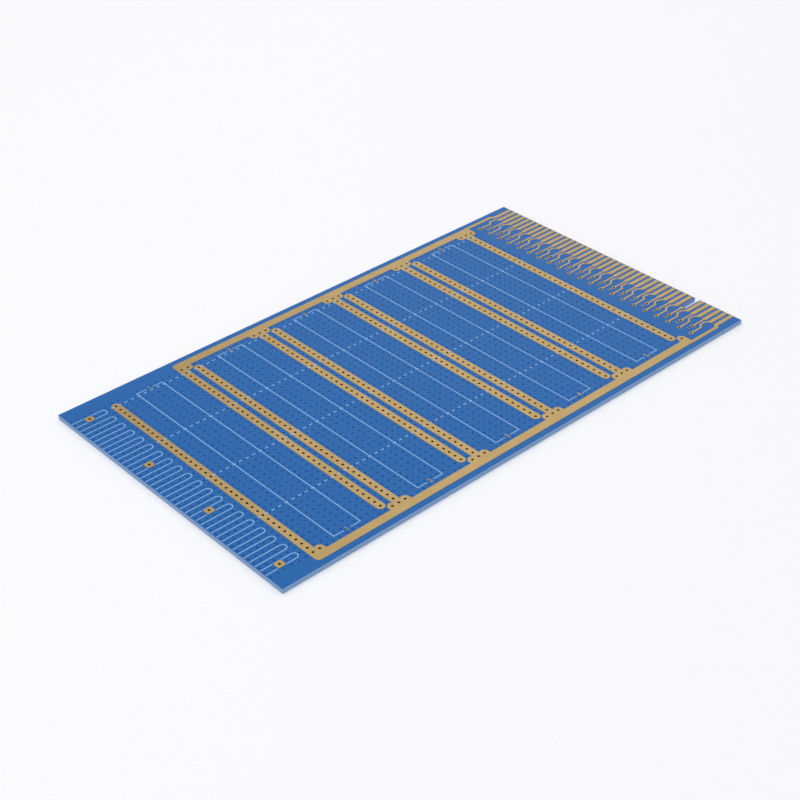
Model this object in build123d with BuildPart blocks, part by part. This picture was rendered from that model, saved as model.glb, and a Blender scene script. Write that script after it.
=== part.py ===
from build123d import *
import os
from math import cos, hypot, pi, sin, sqrt, tan

# Plug-in stripboard: a drilled epoxy-glass card with gold-plated copper on both faces.
# The near end is at -X, the connector edge at +X, and the printed face is up.
# The origin is on the plane that the card rests on, under the middle of the card.

# ---- grid ----
pitch = 2.54                # drilled grid, also the spacing of the contacts
first_column = -6           # column nearest the near end; column 0 carries the first rail
last_column = 64
last_row = 40               # rows run from 0 beside the lower long edge
near_margin = 1.02          # near end to the first column
side_margin = 6.35          # long edge to the outer row
connector_zone = 24.38      # last column to the connector edge
matrix_step = 6             # the solid has every sixth hole both ways; 1 drills the whole matrix

# ---- sheet and layers ----
laminate_thickness = 1.6
foil_thickness = 0.07       # copper with its plating
ink_thickness = 0.03

# ---- supply combs: a bay has a lower rail on its near side and an upper rail on its far side ----
bay_columns = 13            # from one lower rail to the next
rail_pair_columns = 2       # from an upper rail to the lower rail of the next bay
rail_width = 3.1
bus_width = 3.1
land_gap = 0.4              # bare laminate between a land and the nearest rail tip
lead_width = 1.25           # track from the end of a bus to its own contact
lead_offset = 1.07          # how far that track runs outside the line of the contact

# ---- contacts ----
key_row = 5                 # the polarising slot cuts this contact away
contact_width = 1.5
contact_length = 9.15
bevel = 0.3                 # lead-in along the connector edge, on both faces
eyelet_width = 1.6          # land round a plated hole
hole_diameter = 1.0         # also in the matrix
near_eyelet_inset = 15.5    # eyelet to connector edge in the odd rows
far_eyelet_inset = 19.4     # and in the even rows
jog_inset = 14.1            # where an even row's track steps aside, to the connector edge
jog_step = 1.27
jog_landing = 0.25          # where it is back on its line, past the shoulder of the contact

# ---- rounds that repeat by the dozen have a few flats ----
comb_sides = 12             # rail tips and lands
eyelet_sides = 8
hole_side = hole_diameter * sqrt(pi) / 2    # a drilled hole is a square of the same area

# ---- polarising slot ----
slot_width = 2.3
slot_depth = 8.45
slot_root_radius = 0.5

# ---- square test lands ----
test_column = -4
test_rows_inward = (1, 14)  # counted from the outer row beside each long edge
test_land_width = 2.8

# ---- printed lines ----
line_width = 0.25
outline_columns = 4         # width of a component outline, in the middle of its bay
outline_gap = 2.6           # opening in the middle of each short side
loop_rows = range(1, last_row, 2)
loop_width = 2.54
loop_reach = 11.3           # near end to the middle of a loop's round tip
loop_flats = 3
print_margin = 0.2          # ink kept off the near end and the test lands

# ---- worked out from the values above ----
board_length = near_margin + (last_column - first_column) * pitch + connector_zone
board_width = 2 * side_margin + last_row * pitch
near_end = -board_length / 2
connector_edge = board_length / 2
lower_edge = -board_width / 2
laminate_bottom = foil_thickness
laminate_top = laminate_bottom + laminate_thickness
contact_tip = connector_edge - bevel
contact_shoulder = contact_tip - contact_length
bay_count = (last_column + rail_pair_columns - 1) // bay_columns
lower_rails = [bay * bay_columns for bay in range(bay_count)]
upper_rails = [rail + bay_columns - rail_pair_columns for rail in lower_rails]
outline_inset = (bay_columns - rail_pair_columns - outline_columns) / 2
test_rows = [row for inward in test_rows_inward for row in (inward, last_row - inward)]
land_radius = hypot(pitch, pitch) - rail_width / 2 - land_gap
track_width = eyelet_width * tan(pi / eyelet_sides)     # a track leaves one whole flat of its eyelet
rail_columns = lower_rails + upper_rails
foil_levels = {"top": laminate_top, "under": laminate_bottom - foil_thickness}


def column_x(column):
    return near_end + near_margin + (column - first_column) * pitch


def row_y(row):
    return lower_edge + side_margin + row * pitch


def eyelet_x(row):
    inset = near_eyelet_inset if row % 2 else far_eyelet_inset
    return connector_edge - inset


eyelet_points = [(eyelet_x(row), row_y(row)) for row in range(last_row + 1)]
test_points = [(column_x(test_column), row_y(row)) for row in test_rows]
matrix_points = [
    (column_x(column), row_y(row))
    for column in range(first_column, last_column + 1, matrix_step)
    for row in range(last_row % matrix_step // 2, last_row + 1, matrix_step)
    if column not in rail_columns
]


def rectangle_between(x1, y1, x2, y2, mode=Mode.ADD):
    with Locations(((x1 + x2) / 2, (y1 + y2) / 2)):
        Rectangle(x2 - x1, y2 - y1, mode=mode)


def flat_round(width, sides):
    """Round with a few flats, one of them facing along X."""
    RegularPolygon(width / 2, sides, major_radius=False, rotation=180 / sides)


def drill(points):
    with Locations(points):
        Rectangle(hole_side, hole_side, mode=Mode.SUBTRACT)


def strip(points, width):
    """Strip of even width with mitred corners along a line of points."""
    with BuildLine() as run:
        Polyline(*points)
    trace(run.line, line_width=width)


def polarising_slot(mode):
    """Slot from the connector edge inwards, in place of one contact."""
    middle = row_y(key_row)
    half = slot_width / 2
    rectangle_between(connector_edge - slot_depth, middle - half, connector_edge, middle + half, mode)


def contact(row):
    half = contact_width / 2
    rectangle_between(contact_shoulder, row_y(row) - half, contact_tip, row_y(row) + half)


def supply_comb(rails, outer_row, tip_row, outward, land_columns):
    """Bus along a long edge with its rails, its lands and its own contact.

    outer_row is the last row before that edge, tip_row the last that a rail reaches,
    and outward is -1 for the lower long edge and +1 for the upper one.
    """
    bus_y = row_y(outer_row + outward)
    tip_y = row_y(tip_row)
    bus_end = column_x(last_column) + land_radius
    rectangle_between(column_x(rails[0]), bus_y - bus_width / 2, bus_end, bus_y + bus_width / 2)
    with Locations([(column_x(rail), (bus_y + tip_y) / 2) for rail in rails]):
        Rectangle(rail_width, abs(tip_y - bus_y))
    with Locations([(column_x(rail), tip_y) for rail in rails] + [(column_x(rails[0]), bus_y)]):
        flat_round(rail_width, comb_sides)
    with Locations([(column_x(column), row_y(outer_row)) for column in land_columns]):
        flat_round(2 * land_radius, comb_sides)
    with Locations([(column_x(column), row_y(outer_row + outward / 2)) for column in land_columns]):
        Rectangle(2 * land_radius, pitch)
    lead_y = bus_y + outward * lead_offset
    jog_end = contact_shoulder + jog_landing
    lead = [
        (bus_end - lead_width, lead_y),
        (jog_end - lead_offset, lead_y),
        (jog_end, bus_y),
        (jog_end + lead_width, bus_y),
    ]
    strip(lead, lead_width)
    contact(outer_row + outward)


def lands_beside(rails):
    return [rail + side for rail in rails for side in (-1, 1)]


os.makedirs("parts", exist_ok=True)

# ---- laminate: one sheet, with the slot, the lead-in, the matrix and the plated holes ----
with BuildPart() as laminate:
    with BuildSketch(Plane.XY.offset(laminate_bottom)):
        Rectangle(board_length, board_width)
        polarising_slot(Mode.SUBTRACT)
        drill(matrix_points + eyelet_points + test_points)
    extrude(amount=laminate_thickness)
    slot_root = (connector_edge - slot_depth, row_y(key_row), laminate_bottom)
    root_corners = laminate.edges().filter_by(Axis.Z).sort_by_distance(slot_root)[:2]
    fillet(root_corners, slot_root_radius)
    chamfer(laminate.edges().filter_by(Axis.Y).group_by(Axis.X)[-1], bevel)
laminate.part.label = "laminate"
export_step(laminate.part, "parts/laminate.step")

for face, level in foil_levels.items():
    # ---- lower comb: bus below row 0, rails up to the last row but one ----
    with BuildPart() as lower_comb:
        with BuildSketch(Plane.XY.offset(level)):
            lands = [1] + lands_beside(lower_rails[1:]) + [last_column]
            supply_comb(lower_rails, 0, last_row - 1, -1, lands)
        extrude(amount=foil_thickness)
    lower_comb.part.label = f"lower_comb_{face}"
    export_step(lower_comb.part, f"parts/lower_comb_{face}.step")

    # ---- upper comb: bus above the last row, rails down to row 1 ----
    with BuildPart() as upper_comb:
        with BuildSketch(Plane.XY.offset(level)):
            lands = lands_beside(upper_rails)[1:]
            supply_comb(upper_rails, last_row, 1, 1, lands)
        extrude(amount=foil_thickness)
    upper_comb.part.label = f"upper_comb_{face}"
    export_step(upper_comb.part, f"parts/upper_comb_{face}.step")

    # ---- contacts: eyelet, track and contact in every row between the combs ----
    with BuildPart() as contacts:
        with BuildSketch(Plane.XY.offset(level)):
            back = contact_shoulder + jog_landing
            inside = back + track_width
            aside = connector_edge - jog_inset
            for row, (x, y) in enumerate(eyelet_points):
                contact(row)
                if face == "under" or row % 2:
                    rectangle_between(x, y - track_width / 2, inside, y + track_width / 2)
                else:
                    jog_y = y + jog_step
                    jog = [(aside, y), (aside + jog_step, jog_y), (back - jog_step, jog_y), (back, y)]
                    strip([(x, y), *jog, (inside, y)], track_width)
            with Locations(eyelet_points):
                flat_round(eyelet_width, eyelet_sides)
            drill(eyelet_points)
            polarising_slot(Mode.SUBTRACT)
        extrude(amount=foil_thickness)
    contacts.part.label = f"contacts_{face}"
    export_step(contacts.part, f"parts/contacts_{face}.step")

    # ---- square test lands near the near end ----
    with BuildPart() as test_lands:
        with BuildSketch(Plane.XY.offset(level)):
            with Locations(test_points):
                Rectangle(test_land_width, test_land_width)
            drill(test_points)
        extrude(amount=foil_thickness)
    test_lands.part.label = f"test_lands_{face}"
    export_step(test_lands.part, f"parts/test_lands_{face}.step")

# ---- printed outlines, one between each pair of rails, open in the middle of both ends ----
with BuildPart() as component_outlines:
    with BuildSketch(Plane.XY.offset(laminate_top)):
        low_y = row_y(0.5)
        high_y = row_y(last_row - 0.5)
        for rail in lower_rails:
            left = column_x(rail + outline_inset)
            right = column_x(rail + outline_inset + outline_columns)
            for side, inward in ((left, 1), (right, -1)):
                end = (left + right) / 2 - inward * outline_gap / 2
                strip([(end, low_y), (side, low_y), (side, high_y), (end, high_y)], line_width)
    extrude(amount=ink_thickness)
component_outlines.part.label = "component_outlines"
export_step(component_outlines.part, "parts/component_outlines.step")

# ---- printed loops, open at the near end, with a gap where a test land lies ----
with BuildPart() as wire_loops:
    with BuildSketch(Plane.XY.offset(laminate_top)):
        radius = loop_width / 2
        start = near_end + print_margin
        tip_x = near_end + loop_reach
        for row in loop_rows:
            y = row_y(row)
            turns = [pi / 2 - pi * flat / loop_flats for flat in range(loop_flats + 1)]
            tip = [(tip_x + radius * cos(turn), y + radius * sin(turn)) for turn in turns]
            strip([(start, y + radius), *tip, (start, y - radius)], line_width)
        with Locations(test_points):
            clear_width = test_land_width + 2 * print_margin
            Rectangle(clear_width, clear_width, mode=Mode.SUBTRACT)
    extrude(amount=ink_thickness)
wire_loops.part.label = "wire_loops"
export_step(wire_loops.part, "parts/wire_loops.step")

print(f"board {board_length:.2f} x {board_width:.2f} mm, land radius {land_radius:.2f} mm")
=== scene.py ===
# Plug-in stripboard: a blue epoxy-glass card, drilled all over, with gold-plated copper on both faces.
import math

import bmesh
import bpy
from mathutils import Matrix, Vector


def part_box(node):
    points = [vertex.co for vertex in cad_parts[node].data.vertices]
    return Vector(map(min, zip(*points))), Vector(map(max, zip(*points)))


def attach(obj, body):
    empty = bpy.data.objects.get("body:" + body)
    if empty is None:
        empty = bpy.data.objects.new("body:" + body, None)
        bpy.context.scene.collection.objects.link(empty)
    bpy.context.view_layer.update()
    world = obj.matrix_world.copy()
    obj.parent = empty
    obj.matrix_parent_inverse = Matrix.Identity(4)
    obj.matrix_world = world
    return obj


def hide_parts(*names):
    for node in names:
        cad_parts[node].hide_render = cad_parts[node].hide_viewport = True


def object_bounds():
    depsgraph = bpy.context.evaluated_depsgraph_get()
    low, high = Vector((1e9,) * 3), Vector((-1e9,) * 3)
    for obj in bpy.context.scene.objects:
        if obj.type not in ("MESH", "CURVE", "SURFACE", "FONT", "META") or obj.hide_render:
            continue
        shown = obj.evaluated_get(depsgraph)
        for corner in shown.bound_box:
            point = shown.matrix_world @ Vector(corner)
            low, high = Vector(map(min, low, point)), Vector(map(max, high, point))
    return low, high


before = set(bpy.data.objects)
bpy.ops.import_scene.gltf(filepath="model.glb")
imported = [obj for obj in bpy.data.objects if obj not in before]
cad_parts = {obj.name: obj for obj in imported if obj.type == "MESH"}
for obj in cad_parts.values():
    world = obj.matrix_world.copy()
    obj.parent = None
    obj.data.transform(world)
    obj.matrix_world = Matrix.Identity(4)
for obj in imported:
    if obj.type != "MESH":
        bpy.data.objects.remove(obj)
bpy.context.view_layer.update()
print("frame loaded with", len(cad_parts), "nodes")

# Sizes are in mm up to the end of each piece, which is then brought to metres.
mm = 0.001

grid = {
    "pitch": 2.54,
    "firstColumn": -6,
    "lastColumn": 64,
    "lastRow": 40,
    "nearMargin": 1.02,  # near end to the first column
    "sideMargin": 6.35,  # long edge to the outer row
    "holeWidth": 1.0,
    "holeSides": 12,
    "holeGap": 0.3,  # the first column's holes stay farther than this from the near end
}
pitch = grid["pitch"]
boardLow, boardHigh = (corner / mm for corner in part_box("laminate"))
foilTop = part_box("contacts_top")[1].z / mm
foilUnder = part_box("contacts_under")[0].z / mm
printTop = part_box("component_outlines")[1].z / mm


def columnX(column):
    return boardLow.x + grid["nearMargin"] + (column - grid["firstColumn"]) * pitch


def rowY(row):
    return boardLow.y + grid["sideMargin"] + row * pitch


lastRow = grid["lastRow"]
rows = range(lastRow + 1)
foilFaces = (("top", boardHigh.z, foilTop), ("under", foilUnder, boardLow.z))
tiny = 0.001     # points closer than this are one point
overcut = 1      # how far a cutting shape runs past what it cuts
roundSides = 32  # of a rail tip, a land or an eyelet


def hexColour(code):
    # sRGB hex to the linear values that the shaders take
    parts = [int(code[i:i + 2], 16) / 255 for i in (1, 3, 5)]
    return [c / 12.92 if c <= 0.04045 else ((c + 0.055) / 1.055) ** 2.4 for c in parts] + [1]


def addNode(tree, kind, inputs=None, **settings):
    node = tree.nodes.new("ShaderNode" + kind)
    for name, value in settings.items():
        setattr(node, name, value)
    for name, value in (inputs or {}).items():
        if isinstance(value, bpy.types.NodeSocket):
            tree.links.new(value, node.inputs[name])
        else:
            node.inputs[name].default_value = value
    return node


def mixColours(tree, factor, first, second):
    # sockets 6 and 7 are the two colours of a Mix node, and its output 2 is their mix
    first, second = (hexColour(c) if isinstance(c, str) else c for c in (first, second))
    return addNode(tree, "Mix", {"Factor": factor, 6: first, 7: second}, data_type="RGBA").outputs[2]


def addRelief(tree, shader, height, strength, depth):
    bump = addNode(tree, "Bump", {"Height": height, "Strength": strength, "Distance": depth * mm})
    tree.links.new(bump.outputs[0], shader.inputs["Normal"])


def newMaterial(name):
    material = bpy.data.materials.new(name)
    material.use_nodes = True
    tree = material.node_tree
    shader = tree.nodes["Principled BSDF"]
    place = addNode(tree, "TexCoord").outputs["Object"]
    return material, tree, shader, place


def noiseScale(size):
    # scale that gives noise blotches about this many mm across
    return 1 / (size * mm)


def waveScale(period):
    # scale that gives bands this many mm apart
    return math.pi / (10 * period * mm)


epoxySizes = {"warp": 0.58, "weft": 0.82, "blotch": 18, "grain": 0.25, "relief": 0.02}


def epoxyGlassLaminate():
    # woven glass in pigmented epoxy, pressed between smooth plates: the cloth only just shows through
    material, tree, shader, place = newMaterial("pressed_blue_epoxy_glass")
    warp = addNode(tree, "TexWave", {"Vector": place, "Scale": waveScale(epoxySizes["warp"])},
                   bands_direction="X")
    weft = addNode(tree, "TexWave", {"Vector": place, "Scale": waveScale(epoxySizes["weft"])},
                   bands_direction="Y")
    weave = addNode(tree, "Math", {0: warp.outputs["Fac"], 1: weft.outputs["Fac"]}, operation="MULTIPLY")
    blotch = addNode(tree, "TexNoise", {"Vector": place, "Scale": noiseScale(epoxySizes["blotch"]),
                                        "Detail": 3})
    grain = addNode(tree, "TexNoise", {"Vector": place, "Scale": noiseScale(epoxySizes["grain"]),
                                       "Detail": 2})
    cloudy = mixColours(tree, blotch.outputs["Fac"], "#0D5AA0", "#155FA6")
    threads = addNode(tree, "MapRange", {"Value": weave.outputs[0], "To Min": 0, "To Max": 0.55})
    woven = mixColours(tree, threads.outputs[0], cloudy, "#2C72B4")
    tree.links.new(woven, shader.inputs["Base Color"])
    rough = addNode(tree, "MapRange", {"Value": grain.outputs["Fac"], "To Min": 0.38, "To Max": 0.52})
    tree.links.new(rough.outputs[0], shader.inputs["Roughness"])
    relief = addNode(tree, "Mix", {"Factor": 0.5, 2: weave.outputs[0], 3: grain.outputs["Fac"]})
    addRelief(tree, shader, relief.outputs[0], 0.25, epoxySizes["relief"])
    shader.inputs["IOR"].default_value = 1.5
    shader.inputs["Specular IOR Level"].default_value = 0.15
    return material


edgeSizes = {"ply": 0.2, "fibre": 0.12, "relief": 0.03}


def cutEpoxyGlass(name, darker, paler):
    # cut glass ends make it paler and duller than the pressed face, in plies as thick as the cloth; the
    # sawn edge's colours also carry painted light thrown up from the white floor
    material, tree, shader, place = newMaterial(name)
    plies = addNode(tree, "TexWave", {"Vector": place, "Scale": waveScale(edgeSizes["ply"]),
                                      "Distortion": 1.5}, bands_direction="Z")
    fibres = addNode(tree, "TexNoise", {"Vector": place, "Scale": noiseScale(edgeSizes["fibre"]),
                                        "Detail": 2})
    mixed = addNode(tree, "Mix", {"Factor": 0.5, 2: plies.outputs["Fac"], 3: fibres.outputs["Fac"]})
    colour = mixColours(tree, mixed.outputs[0], darker, paler)
    tree.links.new(colour, shader.inputs["Base Color"])
    addRelief(tree, shader, mixed.outputs[0], 0.4, edgeSizes["relief"])
    shader.inputs["Roughness"].default_value = 0.7
    return material


goldSizes = {"blotch": 6, "grain": 0.2, "relief": 0.01}


def goldPlatedCopper():
    # thin gold over nickel on etched copper: satin, a little uneven in colour
    material, tree, shader, place = newMaterial("satin_gold_plated_copper")
    blotch = addNode(tree, "TexNoise", {"Vector": place, "Scale": noiseScale(goldSizes["blotch"]),
                                        "Detail": 4})
    grain = addNode(tree, "TexNoise", {"Vector": place, "Scale": noiseScale(goldSizes["grain"]),
                                       "Detail": 3})
    colour = mixColours(tree, blotch.outputs["Fac"], "#967E4E", "#A48C62")
    tree.links.new(colour, shader.inputs["Base Color"])
    rough = addNode(tree, "MapRange", {"Value": grain.outputs["Fac"], "To Min": 0.32, "To Max": 0.5})
    tree.links.new(rough.outputs[0], shader.inputs["Roughness"])
    addRelief(tree, shader, grain.outputs["Fac"], 0.2, goldSizes["relief"])
    shader.inputs["Metallic"].default_value = 1
    return material


inkSizes = {"mesh": 0.3}


def screenedInk():
    # white epoxy ink pushed through a mesh: matte, thin, with the blue just showing through
    material, tree, shader, place = newMaterial("screened_white_ink")
    mesh = addNode(tree, "TexNoise", {"Vector": place, "Scale": noiseScale(inkSizes["mesh"]),
                                     "Detail": 2})
    colour = mixColours(tree, mesh.outputs["Fac"], "#8CB8E6", "#A0C8F0")
    tree.links.new(colour, shader.inputs["Base Color"])
    shader.inputs["Roughness"].default_value = 0.65
    return material


blueLaminate = epoxyGlassLaminate()
# the sawn edge is partly paler cut glass and partly painted light: its colours are raised to stand for
# light reflected onto the sides from the white floor
sawnEdgeAndFloorLight = cutEpoxyGlass("sawn_edge_with_painted_floor_light", "#6A8FC0", "#8BAAD0")
drilledWall = cutEpoxyGlass("drilled_epoxy_glass_wall", "#4594DC", "#56A0E8")
goldPlate = goldPlatedCopper()
whiteInk = screenedInk()
print("finishes made")


def addBar(bm, x1, y1, x2, y2, low, high):
    middle = Vector(((x1 + x2) / 2, (y1 + y2) / 2, (low + high) / 2))
    size = Vector((abs(x2 - x1), abs(y2 - y1), high - low))
    bmesh.ops.create_cube(bm, size=1, matrix=Matrix.LocRotScale(middle, None, size))


def addRound(bm, x, y, width, low, high, sides=roundSides):
    bmesh.ops.create_cone(bm, cap_ends=True, segments=sides, radius1=width / 2, radius2=width / 2,
                          depth=high - low, matrix=Matrix.Translation((x, y, (low + high) / 2)))


def addWall(bm, points, low, high):
    # upright wall along a line of points; its object thickens it to the width of the track
    corners = [bm.verts.new((x, y, low)) for x, y in points]
    line = [bm.edges.new(pair) for pair in zip(corners, corners[1:])]
    raised = bmesh.ops.extrude_edge_only(bm, edges=line)["geom"]
    bmesh.ops.translate(bm, verts=[v for v in raised if isinstance(v, bmesh.types.BMVert)],
                        vec=(0, 0, high - low))


plating = {"barrelWall": 0.04}  # metal down the holes that join the two faces


def addPlatedHole(x, y, high, barrels, cuts):
    # the upper foil carries the barrel, which runs down to the lower foil
    if high > boardHigh.z:
        addRound(barrels, x, y, grid["holeWidth"], boardLow.z, high, grid["holeSides"])
    inside = grid["holeWidth"] - 2 * plating["barrelWall"]
    addRound(cuts, x, y, inside, foilUnder - overcut, foilTop + overcut, grid["holeSides"])


def shapeOf(bm, wallWidth=None):
    mesh = bpy.data.meshes.new("shape")
    bm.to_mesh(mesh)
    bm.free()
    shape = bpy.data.objects.new("shape", mesh)
    bpy.context.scene.collection.objects.link(shape)
    if wallWidth:
        thicken = shape.modifiers.new("width", "SOLIDIFY")
        thicken.thickness = wallWidth
        thicken.offset = 0
        thicken.use_even_offset = True
    return shape


def joinAndDrill(joined, cut):
    # the first shape takes on the other joined shapes, then loses the cut ones
    base = joined[0]
    for operation, shapes in (("UNION", joined[1:]), ("DIFFERENCE", cut)):
        for shape in shapes:
            step = base.modifiers.new(operation, "BOOLEAN")
            step.operation = operation
            step.solver = "MANIFOLD"
            step.object = shape
    whole = bpy.data.meshes.new_from_object(base.evaluated_get(bpy.context.evaluated_depsgraph_get()))
    for shape in joined + cut:
        bpy.data.meshes.remove(shape.data)
    bm = bmesh.new()
    bm.from_mesh(whole)
    bpy.data.meshes.remove(whole)
    bmesh.ops.remove_doubles(bm, verts=bm.verts, dist=tiny)
    return bm


sharpAngle = math.radians(40)


def finishPiece(name, bm, materials, replaced=None):
    bmesh.ops.scale(bm, vec=(mm, mm, mm), verts=bm.verts)
    for face in bm.faces:
        face.smooth = True
    for edge in bm.edges:
        edge.smooth = edge.calc_face_angle(math.pi) < sharpAngle
    mesh = bpy.data.meshes.new(name)
    bm.to_mesh(mesh)
    bm.free()
    for material in materials:
        mesh.materials.append(material)
    piece = bpy.data.objects.new(name, mesh)
    bpy.context.scene.collection.objects.link(piece)
    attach(piece, "root")
    if replaced:
        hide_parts(replaced)
    mesh.calc_loop_triangles()
    print(name, "made,", len(mesh.loop_triangles), "triangles")


contactSizes = {
    "width": 1.5,
    "length": 9.15,
    "bevel": 0.3,
    "eyeletWidth": 1.6,
    "nearEyelet": 15.5,  # eyelet to connector edge in the odd rows
    "farEyelet": 19.4,   # and in the even rows
    "trackWidth": 0.66,
    "jogStart": 14.1,
    "jogStep": 1.27,
    "jogLanding": 0.25,
    "slotRow": 5,
    "slotWidth": 2.3,
    "slotDepth": 8.45,
    "slotRoot": 0.5,
}
contactTip = boardHigh.x - contactSizes["bevel"]
contactShoulder = contactTip - contactSizes["length"]
slotLow = rowY(contactSizes["slotRow"]) - contactSizes["slotWidth"] / 2
slotHigh = slotLow + contactSizes["slotWidth"]
slotRootX = boardHigh.x - contactSizes["slotDepth"]


def eyeletX(row):
    return boardHigh.x - contactSizes["nearEyelet" if row % 2 else "farEyelet"]


eyelets = [(eyeletX(row), rowY(row)) for row in rows]


def addContact(bm, row, low, high):
    half = contactSizes["width"] / 2
    addBar(bm, contactShoulder, rowY(row) - half, contactTip, rowY(row) + half, low, high)


def contactFoil(face, low, high):
    bars, rounds, tracks, barrels, cuts = (bmesh.new() for _ in range(5))
    back = contactShoulder + contactSizes["jogLanding"]
    inside = back + contactSizes["trackWidth"]
    step = contactSizes["jogStep"]
    aside = boardHigh.x - contactSizes["jogStart"]
    for row, (x, y) in enumerate(eyelets):
        addContact(bars, row, low, high)
        addRound(rounds, x, y, contactSizes["eyeletWidth"], low, high)
        addPlatedHole(x, y, high, barrels, cuts)
        jog = []
        if face == "top" and row % 2 == 0:
            jog = [(aside, y), (aside + step, y + step), (back - step, y + step), (back, y)]
        addWall(tracks, [(x, y), *jog, (inside, y)], low, high)
    addBar(cuts, slotRootX, slotLow, boardHigh.x + overcut, slotHigh, low - overcut, high + overcut)
    trackWidth = contactSizes["trackWidth"]
    shapes = [shapeOf(bm) for bm in (bars, rounds, barrels)]
    return joinAndDrill(shapes + [shapeOf(tracks, trackWidth)], [shapeOf(cuts)])


for face, low, high in foilFaces:
    finishPiece("contact_foil_" + face, contactFoil(face, low, high), [goldPlate],
                "contacts_" + face)

combSizes = {
    "bays": 5,
    "bayColumns": 13,       # from one lower rail to the next
    "pairColumns": 2,       # from an upper rail to the lower rail of the next bay
    "railWidth": 3.1,
    "busWidth": 3.1,
    "landGap": 0.4,
    "leadWidth": 1.25,
    "leadOffset": 1.07,
}
lowerRails = [bay * combSizes["bayColumns"] for bay in range(combSizes["bays"])]
upperRails = [rail + combSizes["bayColumns"] - combSizes["pairColumns"] for rail in lowerRails]
landRadius = math.hypot(pitch, pitch) - combSizes["railWidth"] / 2 - combSizes["landGap"]


def besideRails(rails):
    return [rail + side for rail in rails for side in (-1, 1)]


def combFoil(rails, outerRow, tipRow, outward, landColumns, low, high):
    railBars, busBar, tips, lands, landBars, leads, contact, barrels, cuts = (bmesh.new() for _ in range(9))
    half = combSizes["railWidth"] / 2
    busY = rowY(outerRow + outward)
    tipY = rowY(tipRow)
    busEnd = columnX(grid["lastColumn"]) + landRadius
    busHalf = combSizes["busWidth"] / 2
    addBar(busBar, columnX(rails[0]), busY - busHalf, busEnd, busY + busHalf, low, high)
    addRound(tips, columnX(rails[0]), busY, combSizes["railWidth"], low, high)
    railRows = range(min(outerRow, tipRow), max(outerRow, tipRow) + 1)
    for rail in rails:
        x = columnX(rail)
        addBar(railBars, x - half, busY, x + half, tipY, low, high)
        addRound(tips, x, tipY, combSizes["railWidth"], low, high)
        for row in railRows:
            addPlatedHole(x, rowY(row), high, barrels, cuts)
    landY = rowY(outerRow)
    for column in landColumns:
        x = columnX(column)
        addRound(lands, x, landY, 2 * landRadius, low, high)
        addBar(landBars, x - landRadius, landY, x + landRadius, landY + outward * pitch / 2, low, high)
        addPlatedHole(x, landY, high, barrels, cuts)
    jogEnd = contactShoulder + contactSizes["jogLanding"]
    offset = combSizes["leadOffset"]
    leadY = busY + outward * offset
    leadWidth = combSizes["leadWidth"]
    addWall(leads, [(busEnd - leadWidth, leadY), (jogEnd - offset, leadY), (jogEnd, busY),
                    (jogEnd + leadWidth, busY)], low, high)
    addContact(contact, outerRow + outward, low, high)
    shapes = [shapeOf(bm) for bm in (busBar, railBars, tips, lands, landBars, contact, barrels)]
    return joinAndDrill(shapes + [shapeOf(leads, leadWidth)], [shapeOf(cuts)])


lowerLands = [1] + besideRails(lowerRails[1:]) + [grid["lastColumn"]]
upperLands = besideRails(upperRails)[1:]
for face, low, high in foilFaces:
    finishPiece("lower_comb_foil_" + face, combFoil(lowerRails, 0, lastRow - 1, -1, lowerLands, low, high),
                [goldPlate], "lower_comb_" + face)
    finishPiece("upper_comb_foil_" + face, combFoil(upperRails, lastRow, 1, 1, upperLands, low, high),
                [goldPlate], "upper_comb_" + face)

testSizes = {"column": -4, "rowsInward": (1, 14), "width": 2.8, "cornerRadius": 0.35}
testPoints = [(columnX(testSizes["column"]), rowY(row))
              for inward in testSizes["rowsInward"] for row in (inward, lastRow - inward)]


def testLandFoil(low, high):
    squares, barrels, cuts = (bmesh.new() for _ in range(3))
    half = testSizes["width"] / 2
    for x, y in testPoints:
        addBar(squares, x - half, y - half, x + half, y + half, low, high)
        addPlatedHole(x, y, high, barrels, cuts)
    upright = [e for e in squares.edges if abs(e.verts[0].co.z - e.verts[1].co.z) > 0]
    bmesh.ops.bevel(squares, geom=upright, offset=testSizes["cornerRadius"], segments=4, profile=0.5,
                    affect="EDGES", material=-1)
    return joinAndDrill([shapeOf(squares), shapeOf(barrels)], [shapeOf(cuts)])


for face, low, high in foilFaces:
    finishPiece("test_land_foil_" + face, testLandFoil(low, high), [goldPlate],
                "test_lands_" + face)


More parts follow.
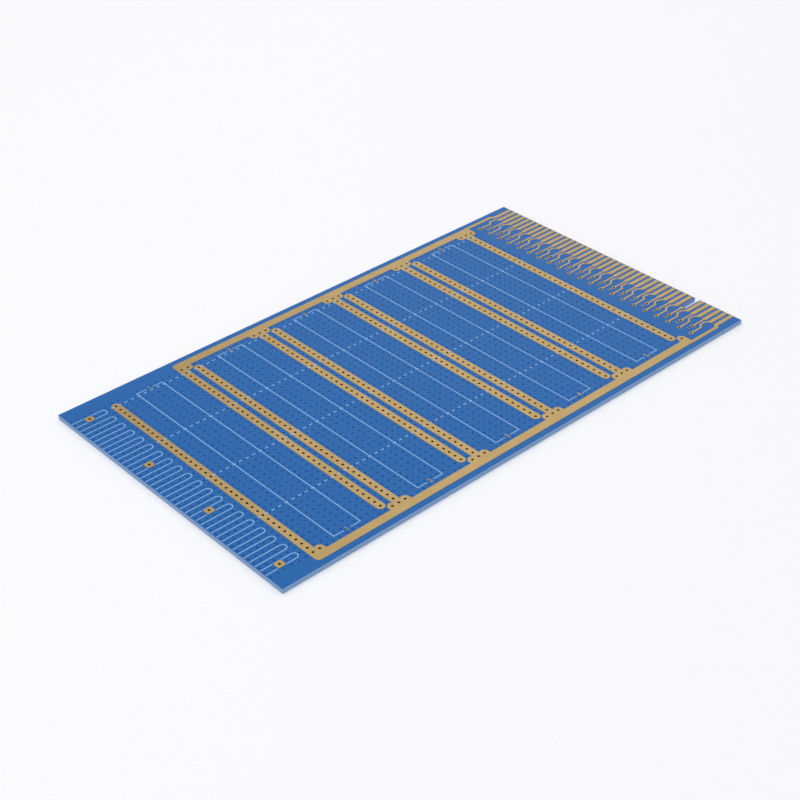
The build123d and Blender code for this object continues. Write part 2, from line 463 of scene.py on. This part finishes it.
def drilledSheet():
    bm = bmesh.new()
    firstPlace = Matrix.Translation((columnX(grid["firstColumn"]), rowY(0), boardLow.z))
    cell = firstPlace @ Matrix.Rotation(math.radians(45), 4, "Z")
    bmesh.ops.create_circle(bm, segments=4, radius=pitch / math.sqrt(2), matrix=cell)
    bmesh.ops.create_circle(bm, segments=grid["holeSides"], radius=grid["holeWidth"] / 2, matrix=firstPlace)
    bmesh.ops.triangle_fill(bm, edges=bm.edges, use_beauty=True)
    for axis, copies in ((0, grid["lastColumn"] - grid["firstColumn"]), (1, lastRow)):
        step = [0, 0, 0]
        step[axis] = pitch
        bmesh.ops.spin(bm, geom=bm.verts[:] + bm.edges[:] + bm.faces[:], dvec=step, axis=(0, 0, 1),
                       angle=0, steps=copies, use_duplicate=True)
    bmesh.ops.remove_doubles(bm, verts=bm.verts, dist=tiny)
    # the first column's cells stop at the near end of the board
    bmesh.ops.bisect_plane(bm, geom=bm.verts[:] + bm.edges[:] + bm.faces[:], plane_co=boardLow,
                           plane_no=(-1, 0, 0), clear_outer=True)
    # plain margins: both long edges and the connector zone, in one outline round the cells
    cellLow, cellHigh = rowY(-0.5), rowY(lastRow + 0.5)
    cellStart, cellEnd = columnX(grid["firstColumn"] + 0.5), columnX(grid["lastColumn"] + 0.5)
    outline = [
        (boardLow.x, boardLow.y), (contactTip, boardLow.y), (contactTip, slotLow), (slotRootX, slotLow),
        (slotRootX, slotHigh), (contactTip, slotHigh), (contactTip, boardHigh.y), (boardLow.x, boardHigh.y),
        (boardLow.x, cellHigh), (cellStart, cellHigh), (cellEnd, cellHigh), (cellEnd, cellLow),
        (cellStart, cellLow), (boardLow.x, cellLow),
    ]
    corners = [bm.verts.new((x, y, boardLow.z)) for x, y in outline]
    margin = bm.faces.new(corners)
    rootCorners = [v for v in corners if abs(v.co.x - slotRootX) < tiny]
    bmesh.ops.bevel(bm, geom=rootCorners, offset=contactSizes["slotRoot"], segments=5, profile=0.5,
                    affect="VERTICES", material=-1)
    margin = max(bm.faces, key=lambda face: face.calc_area())
    border = margin.edges[:]
    bmesh.ops.delete(bm, geom=[margin], context="FACES_ONLY")
    # where the margin meets more than one cell, its edge takes a point at each cell's corner
    alongCells = [e for e in border if e.calc_length() > 2 * pitch and all(
        v.co.x < cellEnd + tiny and cellLow - tiny < v.co.y < cellHigh + tiny for v in e.verts)]
    for edge in alongCells:
        border += bmesh.ops.subdivide_edges(bm, edges=[edge],
                                            cuts=round(edge.calc_length() / pitch) - 1)["geom_split"]
    # dict.fromkeys drops repeats and keeps the order, which would change from run to run in a set
    border = list(dict.fromkeys(e for e in border if isinstance(e, bmesh.types.BMEdge)))
    for x, y in eyelets:
        ring = bmesh.ops.create_circle(bm, segments=grid["holeSides"], radius=grid["holeWidth"] / 2,
                                       matrix=Matrix.Translation((x, y, boardLow.z)))["verts"]
        border += dict.fromkeys(e for v in ring for e in v.link_edges)
    bmesh.ops.triangle_fill(bm, edges=border, use_beauty=True)
    bmesh.ops.remove_doubles(bm, verts=bm.verts, dist=tiny)
    # lead-in: a strip beyond the contact tips, which thins once the sheet has its thickness
    tipEdges = [e for e in bm.edges if e.is_boundary
                and all(abs(v.co.x - contactTip) < tiny for v in e.verts)]
    strip = bmesh.ops.extrude_edge_only(bm, edges=tipEdges)["geom"]
    bmesh.ops.translate(bm, verts=[v for v in strip if isinstance(v, bmesh.types.BMVert)],
                        vec=(contactSizes["bevel"], 0, 0))
    bmesh.ops.recalc_face_normals(bm, faces=bm.faces)
    sheet = bm.verts[:] + bm.edges[:] + bm.faces[:]
    raised = bmesh.ops.extrude_face_region(bm, geom=sheet)["geom"]
    bmesh.ops.translate(bm, verts=[v for v in raised if isinstance(v, bmesh.types.BMVert)],
                        vec=(0, 0, boardHigh.z - boardLow.z))
    for vert in bm.verts:
        if vert.co.x > boardHigh.x - tiny:
            inward = 1 if vert.co.z < (boardLow.z + boardHigh.z) / 2 else -1
            vert.co.z += inward * contactSizes["bevel"]
    bmesh.ops.recalc_face_normals(bm, faces=bm.faces)
    for face in bm.faces:
        middle = face.calc_center_median()
        drilled = (boardLow.x + grid["holeGap"] < middle.x < slotRootX - contactSizes["slotRoot"]
                   and abs(middle.y) < boardHigh.y - grid["holeGap"])
        if abs(face.normal.z) < 0.9:
            face.material_index = 2 if drilled else 1
    return bm


finishPiece("drilled_sheet", drilledSheet(), [blueLaminate, sawnEdgeAndFloorLight, drilledWall], "laminate")

printSizes = {
    "lineWidth": 0.25,
    "loopWidth": 2.54,
    "loopReach": 11.3,      # near end to the middle of a loop's round tip
    "loopSteps": 12,
    "margin": 0.2,          # ink kept off the near end and the test lands
    "dashLength": 1.27,
    "dashWidth": 0.28,
    "dashRows": (9, 19, 29, 39),
    "step": 0.012,          # a dash stands this far above a rail and below an outline that it crosses
}


def loopPrint():
    walls, cuts = bmesh.new(), bmesh.new()
    radius = printSizes["loopWidth"] / 2
    start = boardLow.x + printSizes["margin"]
    tipX = boardLow.x + printSizes["loopReach"]
    steps = printSizes["loopSteps"]
    for row in rows[1::2]:
        y = rowY(row)
        turns = [math.pi / 2 - math.pi * step / steps for step in range(steps + 1)]
        tip = [(tipX + radius * math.cos(turn), y + radius * math.sin(turn)) for turn in turns]
        addWall(walls, [(start, y + radius), *tip, (start, y - radius)], boardHigh.z, printTop)
    clear = testSizes["width"] / 2 + printSizes["margin"]
    for x, y in testPoints:
        addBar(cuts, x - clear, y - clear, x + clear, y + clear, boardHigh.z - overcut, printTop + overcut)
    return joinAndDrill([shapeOf(walls, printSizes["lineWidth"])], [shapeOf(cuts)])


finishPiece("loop_print", loopPrint(), [whiteInk], "wire_loops")


def rowDashes():
    bm = bmesh.new()
    halfWidth, halfLength = printSizes["dashWidth"] / 2, printSizes["dashLength"] / 2
    for row in printSizes["dashRows"]:
        y = rowY(row)
        for column in range(grid["lastColumn"] + 1):
            x = columnX(column - 0.5)
            crosses = {column, column - 1} & set(lowerRails + upperRails)
            top = foilTop + printSizes["step"] if crosses else printTop - printSizes["step"]
            addBar(bm, x - halfLength, y - halfWidth, x + halfLength, y + halfWidth, boardHigh.z, top)
    return bm


finishPiece("row_dashes", rowDashes(), [whiteInk])
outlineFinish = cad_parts["component_outlines"].data.materials
outlineFinish.clear()
outlineFinish.append(whiteInk)

figureSizes = {"bayHeight": 2.0, "contactHeight": 1.5, "contactInset": 17.6, "spread": 1.05,
               "shareOfSize": 0.7}


def addFigure(bm, text, x, y, height):
    curve = bpy.data.curves.new("figure", "FONT")
    curve.body = text
    curve.size = height / figureSizes["shareOfSize"]  # a figure is lower than its font's size
    curve.space_character = figureSizes["spread"]
    curve.align_x, curve.align_y = "CENTER", "CENTER"
    curve.extrude = (foilTop - boardHigh.z) / 2
    curve.resolution_u = 3
    carrier = bpy.data.objects.new("figure", curve)
    mesh = bpy.data.meshes.new_from_object(carrier)
    mesh.transform(Matrix.Translation((x, y, (boardHigh.z + foilTop) / 2)))
    bm.from_mesh(mesh)
    bpy.data.objects.remove(carrier)
    bpy.data.curves.remove(curve)
    bpy.data.meshes.remove(mesh)


def plainFigures():
    bm = bmesh.new()
    for bay, rail in enumerate(lowerRails):
        middle = columnX(rail + (combSizes["bayColumns"] - combSizes["pairColumns"]) / 2)
        for row in (0.5, lastRow - 0.5):
            addFigure(bm, str(bay + 1), middle, rowY(row), figureSizes["bayHeight"])
    for row in rows[1::2]:
        addFigure(bm, str(row), boardHigh.x - figureSizes["contactInset"], rowY(row),
                  figureSizes["contactHeight"])
    bmesh.ops.remove_doubles(bm, verts=bm.verts, dist=tiny / 2)
    return bm


finishPiece("plain_figures", plainFigures(), [goldPlate])

studio = {
    "floorSize": 6.0,
    "floorGap": 0.00002,  # keeps the floor clear of the under foils
    "floorColour": "#F9F9FB",
    "backdropColour": "#FEFEFF",
    "roomColour": "#FFFFFF",
    "roomStrength": 0.62,
}


def paleFloor():
    bm = bmesh.new()
    half = studio["floorSize"] / 2
    bmesh.ops.create_grid(bm, x_segments=1, y_segments=1, size=half)
    bmesh.ops.translate(bm, verts=bm.verts, vec=(0, 0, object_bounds()[0].z - studio["floorGap"]))
    mesh = bpy.data.meshes.new("pale_floor")
    bm.to_mesh(mesh)
    bm.free()
    floor = bpy.data.objects.new("pale_floor", mesh)
    bpy.context.scene.collection.objects.link(floor)
    material, _, shader, _ = newMaterial("matte_white_sheet")
    shader.inputs["Base Color"].default_value = hexColour(studio["floorColour"])
    shader.inputs["Roughness"].default_value = 0.9
    shader.inputs["Specular IOR Level"].default_value = 0.1
    mesh.materials.append(material)


paleFloor()


def softWorld():
    world = bpy.data.worlds.new("white_room")
    world.use_nodes = True
    tree = world.node_tree
    background = tree.nodes["Background"]
    background.inputs["Color"].default_value = hexColour(studio["roomColour"])
    background.inputs["Strength"].default_value = studio["roomStrength"]
    shown = addNode(tree, "Background", {"Color": hexColour(studio["backdropColour"]), "Strength": 1})
    path = addNode(tree, "LightPath")
    direct = addNode(tree, "Math", {0: path.outputs["Is Camera Ray"], 1: path.outputs["Is Glossy Ray"]},
                     operation="MAXIMUM")
    seen = addNode(tree, "Math", {0: direct.outputs[0], 1: path.outputs["Is Transmission Ray"]},
                   operation="MAXIMUM")
    mix = addNode(tree, "MixShader", {0: seen.outputs[0], 1: background.outputs[0], 2: shown.outputs[0]})
    tree.links.new(mix.outputs[0], tree.nodes["World Output"].inputs["Surface"])
    bpy.context.scene.world = world


softWorld()

lamps = {
    "overhead": {"place": (-0.2, 0.1, 1.3), "aim": (0, 0, 0), "size": 1.2, "power": 6.4},
    "left": {"place": (-1.1, -0.6, 0.8), "aim": (0, 0, 0), "size": 1.0, "power": 2.4},
    "back": {"place": (0.7, 0.6, 0.7), "aim": (0.4, 0.3, 0), "size": 0.6, "power": 1.2},
}


def softLamp(name, place, aim, size, power):
    light = bpy.data.lights.new(name, "AREA")
    light.size = size
    light.energy = power
    lamp = bpy.data.objects.new(name, light)
    lamp.location = place
    lamp.rotation_euler = (Vector(aim) - Vector(place)).to_track_quat("-Z", "Y").to_euler()
    bpy.context.scene.collection.objects.link(lamp)


for name, lamp in lamps.items():
    softLamp(name, **lamp)

viewpoint = {
    "place": (-0.29826, -0.32632, 0.29607),
    "turn": (55.118, 1.242, -41.697),  # degrees
    "lens": 71.885,
    "shift": 0.03,  # the photograph is cropped off the axis of its lens
}


def placeCamera():
    camera = bpy.data.cameras.new("camera")
    camera.lens = viewpoint["lens"]
    camera.shift_x = viewpoint["shift"]
    camera.clip_start = 0.01
    holder = bpy.data.objects.new("camera", camera)
    holder.location = viewpoint["place"]
    holder.rotation_euler = [math.radians(angle) for angle in viewpoint["turn"]]
    bpy.context.scene.collection.objects.link(holder)
    bpy.context.scene.camera = holder


placeCamera()
bpy.context.scene.view_settings.view_transform = "Standard"
print("studio set")
